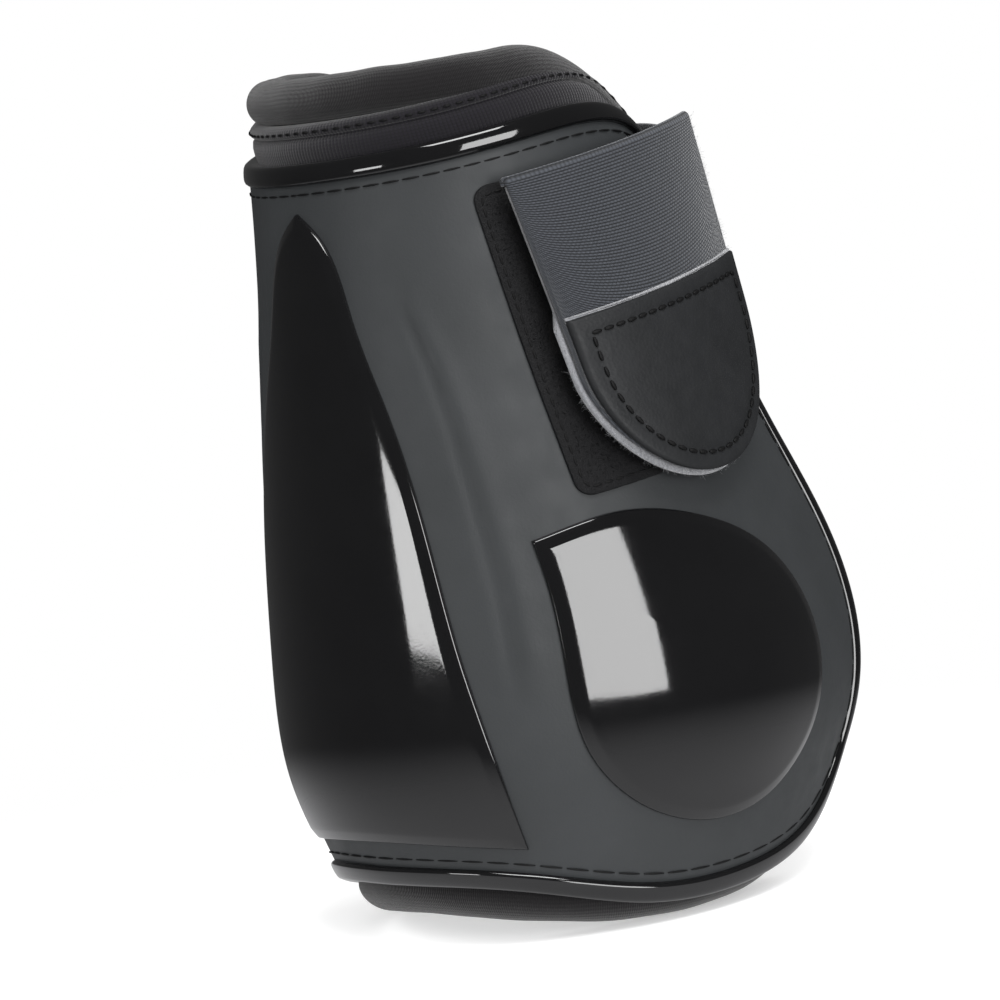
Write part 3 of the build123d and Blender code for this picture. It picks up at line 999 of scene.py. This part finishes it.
def build_edge_fibres():
    """Loose fibres down one side of the flap and round the end of the tab."""
    rng = np.random.default_rng(21)
    side_count, end_count = 1500, 900
    up = rng.uniform(-34, 0.5, side_count) * MM
    side = np.stack([np.full(side_count, STRAP_HALF), up, rng.uniform(4.5, 6.2, side_count) * MM], -1)
    angles = rng.uniform(0, math.pi, end_count)
    end_up = TAB_SHOULDER - (TAB_SHOULDER - TAB_TIP) * np.sin(angles)
    end = np.stack([STRAP_HALF * np.cos(angles), end_up, rng.uniform(4.5, 5.3, end_count) * MM], -1)
    roots = np.vstack([side, end])
    step = 0.02 * MM
    outward = np.stack([roots[:, 0], np.minimum(roots[:, 1] - TAB_SHOULDER, 0), np.zeros(len(roots))], -1)
    outward *= step / np.linalg.norm(outward, axis=1, keepdims=True)
    starts = on_strap(roots)
    ways = (on_strap(roots + outward) - starts) / step
    fuzz = fibres("edge_fibres", starts, ways, 1.5 * MM, 0.07 * MM, 22)
    dress(fuzz, "lock_flap", PILE)


def build_tab():
    """The leather tab with the pale cut edge across its top and its seam."""
    turns = np.linspace(math.pi / 2, -math.pi / 2, 90)
    round_up = TAB_SHOULDER - (TAB_SHOULDER - TAB_TIP) * np.cos(turns)
    corners = [(TAB_HALF, TAB_SHOULDER), (TAB_HALF, TAB_TOP), (-TAB_HALF, TAB_TOP), (-TAB_HALF, TAB_SHOULDER)]
    sides = [np.array(pair) for pair in zip(corners, corners[1:])]
    loop, corners = one_loop([np.stack([-TAB_HALF * np.sin(turns), round_up], -1), *sides], 0.7 * MM)
    corners = corners[2:]
    top = in_mm([(0, 7.2), (0.05, 7.55), (0.25, 7.85), (0.6, 7.98), (1.1, 8.0)])
    under = in_mm([(0, 6.8), (0.2, 6.62)])
    tab = shaped_patch("end_tab_leather", on_flap, loop, corners, top, under, 26, 0, tab_relief)
    dress(tab, "lock_flap", LEATHER, ["end_tab"])
    low, high = TAB_TOP - 0.5 * MM, TAB_TOP + 0.5 * MM
    edge = np.array([(-TAB_HALF, low), (TAB_HALF, low), (TAB_HALF, high), (-TAB_HALF, high), (-TAB_HALF, low)])
    edge = evenly(edge, 200, closed=True)
    strip = shaped_patch("tab_cut_edge", on_flap, edge, [], in_mm([(0, 7.0), (0.15, 7.25)]), in_mm([(0, 6.65)]), 3)
    dress(strip, "lock_flap", PILE)
    seam = inset_loop(loop, corners, 3.3 * MM)
    segments = stitch_row(on_flap, np.vstack([seam, seam[:1]]), 8.0 * MM, 2.7 * MM, 1.95 * MM)
    seam = capsules("tab_seam", segments, 0.85 * MM, 0.6 * MM, 0.05 * MM)
    dress(seam, "lock_flap", THREAD, ["end_tab_stitching"])


def build_flap():
    """Elastic flap with its fold, the loop pile under it and the leather tab."""
    build_elastic_flap()
    build_flap_pile()
    build_edge_fibres()
    build_tab()


def tab_relief(flat):
    """The leather sinks a little along its seam and swells inside it."""
    below = np.minimum(flat[:, 1] - TAB_SHOULDER, 0) * TAB_HALF / (TAB_SHOULDER - TAB_TIP)
    radial = TAB_HALF - np.hypot(flat[:, 0], below)
    distance = np.minimum(radial, TAB_TOP - flat[:, 1])
    return -0.22 * MM * np.exp(-(((distance - 3.3 * MM) / (0.8 * MM)) ** 2))


def on_band(points):
    """Points in space for (turn round the leg as a flat length, up the strap, distance outside the shell)."""
    flat_s, up, height = points.T
    turn = flat_s / ROUND_RADIUS
    z = np.full(len(points), FOLD_CENTRE[1] - 20 * MM)
    for _ in range(6):
        depth, width, centre = form_sizes(z)
        x = centre - (depth + height) * np.cos(turn)
        z = FOLD_CENTRE[1] + (up + (x - FOLD_CENTRE[0]) * math.sin(STRAP_TILT)) / math.cos(STRAP_TILT)
    return np.stack([x, -(width + height) * np.sin(turn), z], -1)


def on_band_flat(flat, height):
    """Points in space for flat points on the band at these heights."""
    return on_band(np.column_stack([flat, np.broadcast_to(height, len(flat))]))


def graded(low, high, count, edge):
    """Steps from low to high with closer ones near both ends."""
    inner = np.linspace(low + edge, high - edge, count)
    fine = edge * np.array([0, 0.05, 0.2, 0.5])
    return np.concatenate([low + fine, inner, (high - fine)[::-1]])


def seen_turn(angle, up):
    """Turn in degrees, on the inner side, of the points of the band seen at this angle from the leg's axis."""
    z = FOLD_CENTRE[1] + up + BAND_RISE
    depth, width, centre = form_sizes(z)
    middle = 3.4 * MM
    look = math.radians(angle)
    ahead, aside = math.sin(look) * (depth + middle), math.cos(look) * (width + middle)
    turn = np.arctan2(ahead, aside) + np.arcsin(math.sin(look) * centre / np.hypot(ahead, aside))
    return 180 + np.degrees(turn)


def seen_at(angle):
    """The turn at which the band is seen at this angle, as a function of the place up the band."""
    return lambda up: seen_turn(angle, up)


def band_strip(name, first, last, under, over, foot=BAND_FOOT, head=BAND_TOP, swap=True):
    """A piece of the band between two turns in degrees, as numbers or functions of the place up the band.

    under and over are heights, or functions of the turn.
    """
    edge = 0.45 * MM
    ups = graded(foot, head, 50, edge)
    starts, stops = (
        np.radians(turn(ups) if callable(turn) else np.full(len(ups), float(turn))) * ROUND_RADIUS
        for turn in (first, last)
    )
    reach = (stops - starts).mean()
    shares = graded(0.0, 1.0, 150, edge / reach)
    span = starts[:, None] + (stops - starts)[:, None] * shares
    up = np.broadcast_to(ups[:, None], span.shape)
    low = under(np.degrees(span / ROUND_RADIUS)) if callable(under) else np.full(span.shape, under)
    high = over(np.degrees(span / ROUND_RADIUS)) if callable(over) else np.full(span.shape, over)
    distance = np.minimum.reduce([span - starts[:, None], stops[:, None] - span, up - ups[0], ups[-1] - up])
    middle = np.dstack([span, up, (low + high) / 2])
    normal = np.zeros_like(middle)
    normal[..., 2] = 1
    half = (high - low) / 2 * rounded(distance, edge)
    cloth = np.dstack([up, span]) if swap else np.dstack([span, up])
    return slab(name, on_band, middle, normal, half, cloth)


def anchor_under(turn):
    """The root lies on the shell behind the free part of the band."""
    share = np.clip((turn - 250) / 6, 0, 1)
    return (2.8 - 2.75 * share * share * (3 - 2 * share)) * MM


def build_band():
    """Front band, the loop pad under its end and the sewn root."""
    band = band_strip("elastic_band", 71, seen_at(53.4), 2.85 * MM, 3.95 * MM)
    dress(band, "front_band", ELASTIC, ["front_band"])
    bend = band_strip("band_bend", seen_at(51.5), seen_at(58.5), 3.0 * MM, 3.8 * MM)
    bend.data.materials.append(ELASTIC)
    level = -20 * MM
    turns = [math.radians(seen_turn(angle, level)) * ROUND_RADIUS for angle in (56.4, 53.6)]
    start, end = (Vector(point) for point in on_band(np.array([(turn, level, 3.4 * MM) for turn in turns])))
    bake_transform(bend)
    pad = band_strip("band_pile", 72, 112.5, 2.05 * MM, 2.8 * MM, BAND_FOOT + 2 * MM, BAND_TOP - 2 * MM, False)
    dress(pad, "front_band", PILE, ["band_end_loop_pad"])
    root = band_strip("band_root", seen_at(56.6), seen_at(97.6), anchor_under, 3.95 * MM)
    dress(root, "boot", ELASTIC, ["band_anchor"])
    inset = 2.5 * MM
    first, last = (math.radians(a) * ROUND_RADIUS for a in (256, 276))
    low, high = BAND_FOOT + inset, BAND_TOP - inset
    box = np.array([(first, low), (last, low), (last, high), (first, high), (first, low), (last, high)])
    extra = np.array([(first, high), (last, low)])
    segments = []
    for curve in (box, extra):
        segments += stitch_row(on_band_flat, curve, 3.95 * MM, 2.6 * MM, 1.9 * MM)
    seam = capsules("band_root_seam", segments, 0.55 * MM, 0.45 * MM, 0.08 * MM)
    dress(seam, "boot", THREAD, ["band_anchor_stitching"])


def radius_to(loop, centre, angles):
    """How far a closed loop lies from its centre in these directions."""
    offset = loop - centre
    around = np.mod(np.arctan2(offset[:, 1], offset[:, 0]), 2 * math.pi)
    order = np.argsort(around)
    radii = np.linalg.norm(offset, axis=1)[order]
    return np.interp(np.mod(angles, 2 * math.pi), around[order], radii, period=2 * math.pi)


def hook_outline():
    """The hook patch's flat outline: a tilted rectangle with round corners, trimmed inside the shell's seam."""
    straight_w, straight_h = (size / 2 - HOOK_CORNER for size in HOOK_SIZE)
    points = []
    for sx, sy, start in ((1, 1, 0), (-1, 1, 90), (-1, -1, 180), (1, -1, 270)):
        for turn in np.radians(np.linspace(start, start + 90, 9)):
            x = sx * straight_w + HOOK_CORNER * math.cos(turn)
            points.append((x, sy * straight_h + HOOK_CORNER * math.sin(turn)))
    points.append(points[0])
    points = evenly(np.array(points), 500)
    tilt = math.radians(HOOK_TILT)
    turned = points @ np.array([(math.cos(tilt), math.sin(tilt)), (-math.sin(tilt), math.cos(tilt))])
    rectangle = from_side((turned + HOOK_CENTRE) * MM)
    centre = from_side(np.array([HOOK_CENTRE]) * MM)[0]
    angles = np.linspace(0, 2 * math.pi, 361)[:-1]
    limit = radius_to(moved_in(SHELL_LOOP, 7.2 * MM), centre, angles)
    radius = np.minimum(radius_to(rectangle, centre, angles), limit)
    loop = centre + radius[:, None] * np.stack([np.cos(angles), np.sin(angles)], -1)
    return evenly(np.vstack([loop, loop[:1]]), 420, closed=True), centre


def build_hook_patch():
    """Hook tape with a field of small hooks and its sewn border."""
    loop, centre = hook_outline()
    steps = in_mm([(0, 0.3), (0.05, 0.6), (0.3, 0.72), (1.7, 0.75)])
    tape = shaped_patch("hook_tape", on_leg, loop, [], steps, in_mm([(0, 0.02)]), 36)
    dress(tape, "boot", HOOKS, ["hook_patch"])
    rng = np.random.default_rng(11)
    field = moved_in(loop, 2.6 * MM)
    low, high = field.min(0), field.max(0)
    pitch = 0.95 * MM
    across, up = (np.arange(low[axis], high[axis], pitch) for axis in (0, 1))
    spots = np.stack(np.meshgrid(across, up), -1).reshape(-1, 2)
    spots += rng.normal(0, 0.12 * MM, spots.shape)
    offset = spots - centre
    inside = np.linalg.norm(offset, axis=1) < radius_to(field, centre, np.arctan2(offset[:, 1], offset[:, 0]))
    spots = spots[inside]
    roots = on_leg(spots, np.full(len(spots), 0.7 * MM))
    out = on_leg(spots, np.full(len(spots), 1.7 * MM)) - roots
    hooks = fibres("tape_hooks", roots, out / MM, 0.62 * MM, 0.26 * MM, 12, 1.2)
    dress(hooks, "boot", HOOKS)
    seam = moved_in(loop, 1.6 * MM)
    segments = stitch_row(on_leg, np.vstack([seam, seam[:1]]), 0.72 * MM, 2.3 * MM, 1.7 * MM)
    piece = capsules("hook_patch_seam", segments, 0.5 * MM, 0.4 * MM, 0.05 * MM)
    dress(piece, "boot", THREAD, ["hook_patch_stitching"])


# ------------------------------------------------------------------------------
# Stage, light and camera


def build_stage():
    """A pale floor that fades into a white surround."""
    low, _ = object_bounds()
    count = 96
    floor_z = low.z - 0.2 * MM
    radii = (0.0, 0.2, 0.5, 1.0, 2.0, 4.0)
    points, faces = [(0, 0, floor_z)], []
    for radius in radii[1:]:
        points += [
            (radius * math.cos(2 * math.pi * k / count), radius * math.sin(2 * math.pi * k / count), floor_z)
            for k in range(count)
        ]
    faces += [(0, 1 + i, 1 + (i + 1) % count) for i in range(count)]
    for ring in range(len(radii) - 2):
        faces += ring_faces(1 + ring * count, 1 + (ring + 1) * count, count)
    floor = make_object("floor", points, faces)
    material = bpy.data.materials.new("floor_white")
    material.use_nodes = True
    tree = material.node_tree
    surface = tree.nodes["Principled BSDF"]
    surface.inputs["Roughness"].default_value = 0.9
    surface.inputs["Emission Color"].default_value = (1, 1, 1, 1)
    surface.inputs["Emission Strength"].default_value = 0.3
    surface.inputs["Specular IOR Level"].default_value = 0.1
    places = tree.nodes.new("ShaderNodeTexCoord")
    reach = tree.nodes.new("ShaderNodeVectorMath")
    reach.operation = "LENGTH"
    fade = tree.nodes.new("ShaderNodeMapRange")
    fade.interpolation_type = "SMOOTHSTEP"
    fade.inputs["From Min"].default_value = 0.06
    fade.inputs["From Max"].default_value = 0.24
    clear = tree.nodes.new("ShaderNodeBsdfTransparent")
    mix = tree.nodes.new("ShaderNodeMixShader")
    rays = tree.nodes.new("ShaderNodeLightPath")
    shade = tree.nodes.new("ShaderNodeMix")
    shade.data_type = "RGBA"
    pale, grey = colour_sockets(shade.inputs)
    pale.default_value = (0.95, 0.95, 0.95, 1)
    grey.default_value = (0.28, 0.28, 0.29, 1)
    tree.links.new(rays.outputs["Is Glossy Ray"], shade.inputs["Factor"])
    tree.links.new(colour_sockets(shade.outputs)[0], surface.inputs["Base Color"])
    tree.links.new(places.outputs["Object"], reach.inputs[0])
    tree.links.new(reach.outputs["Value"], fade.inputs["Value"])
    tree.links.new(fade.outputs[0], mix.inputs[0])
    tree.links.new(surface.outputs[0], mix.inputs[1])
    tree.links.new(clear.outputs[0], mix.inputs[2])
    tree.links.new(mix.outputs[0], tree.nodes["Material Output"].inputs["Surface"])
    floor.data.materials.append(material)


# Softboxes by name: direction from the boot, distance, size, power and whether glossy surfaces mirror them.
SOFTBOXES = (
    ("key_box", (-0.20, -0.97, 0.03), 1.2, (0.66, 0.5), 7, True),
    ("back_box", (-0.98, -0.17, 0.0), 1.0, (0.30, 0.2), 1.5, True),
    ("top_box", (-0.25, -0.5, 0.83), 1.1, (0.6, 0.45), 8, True),
    ("front_fill", (-0.45, -0.85, 0.3), 1.3, (0.8, 0.8), 6, False),
    ("rear_fill", (-0.3, 0.9, 0.45), 1.3, (0.8, 0.8), 12, False),
    ("open_side_fill", (0.9, -0.1, 0.5), 1.3, (0.8, 0.8), 8, False),
)


def area_light(name, direction, distance, size, power, mirrored):
    """A softbox in this direction from the boot, facing it."""
    light = bpy.data.lights.new(name, "AREA")
    light.shape = "RECTANGLE"
    light.size, light.size_y = size
    light.energy = power
    lamp = bpy.data.objects.new(name, light)
    bpy.context.scene.collection.objects.link(lamp)
    way = Vector(direction).normalized()
    lamp.location = way * distance
    lamp.rotation_mode = "QUATERNION"
    lamp.rotation_quaternion = way.to_track_quat("Z", "Y")
    lamp.visible_glossy = mirrored


def background(tree, strength):
    """White light of this strength from all round."""
    node = tree.nodes.new("ShaderNodeBackground")
    node.inputs["Color"].default_value = (1, 1, 1, 1)
    node.inputs["Strength"].default_value = strength
    return node.outputs[0]


def choose(tree, factor, off, on):
    """One shader or the other, by a factor of 0 or 1."""
    node = tree.nodes.new("ShaderNodeMixShader")
    for source, socket in zip((factor, off, on), node.inputs):
        tree.links.new(source, socket)
    return node.outputs[0]


def build_light():
    """White surround for the camera, dim for all else, and the softboxes."""
    world = bpy.data.worlds.new("studio")
    bpy.context.scene.world = world
    world.use_nodes = True
    tree = world.node_tree
    tree.nodes.clear()
    output = tree.nodes.new("ShaderNodeOutputWorld")
    rays = tree.nodes.new("ShaderNodeLightPath").outputs
    unseen = choose(tree, rays["Is Glossy Ray"], background(tree, 0.5), background(tree, 0.07))
    shown = choose(tree, rays["Is Camera Ray"], unseen, background(tree, 1.0))
    tree.links.new(shown, output.inputs["Surface"])
    for box in SOFTBOXES:
        area_light(*box)


def build_camera():
    """The product view: past the strike plate towards the outer dome, a little rolled."""
    azimuth, elevation, roll_angle = (math.radians(v) for v in (-44, 6, 7.5))
    distance = 0.82
    back = Vector((
        math.sin(azimuth) * math.cos(elevation), -math.cos(azimuth) * math.cos(elevation), math.sin(elevation)
    ))
    right = Vector((math.cos(azimuth), math.sin(azimuth), 0))
    up = back.cross(right)
    turned_right = math.cos(roll_angle) * right - math.sin(roll_angle) * up
    turned_up = math.sin(roll_angle) * right + math.cos(roll_angle) * up
    data = bpy.data.cameras.new("camera")
    data.sensor_width = 36
    data.lens = 150.6
    camera = bpy.data.objects.new("camera", data)
    bpy.context.scene.collection.objects.link(camera)
    turn = Matrix((turned_right, turned_up, back)).transposed().to_4x4()
    camera.matrix_world = Matrix.Translation(back * distance) @ turn
    bpy.context.scene.camera = camera


build_shell()
build_lining()
build_edges()
build_hook_patch()
build_band()
build_flap()
build_stage()
build_light()
build_camera()
bpy.context.scene.view_settings.view_transform = "Standard"
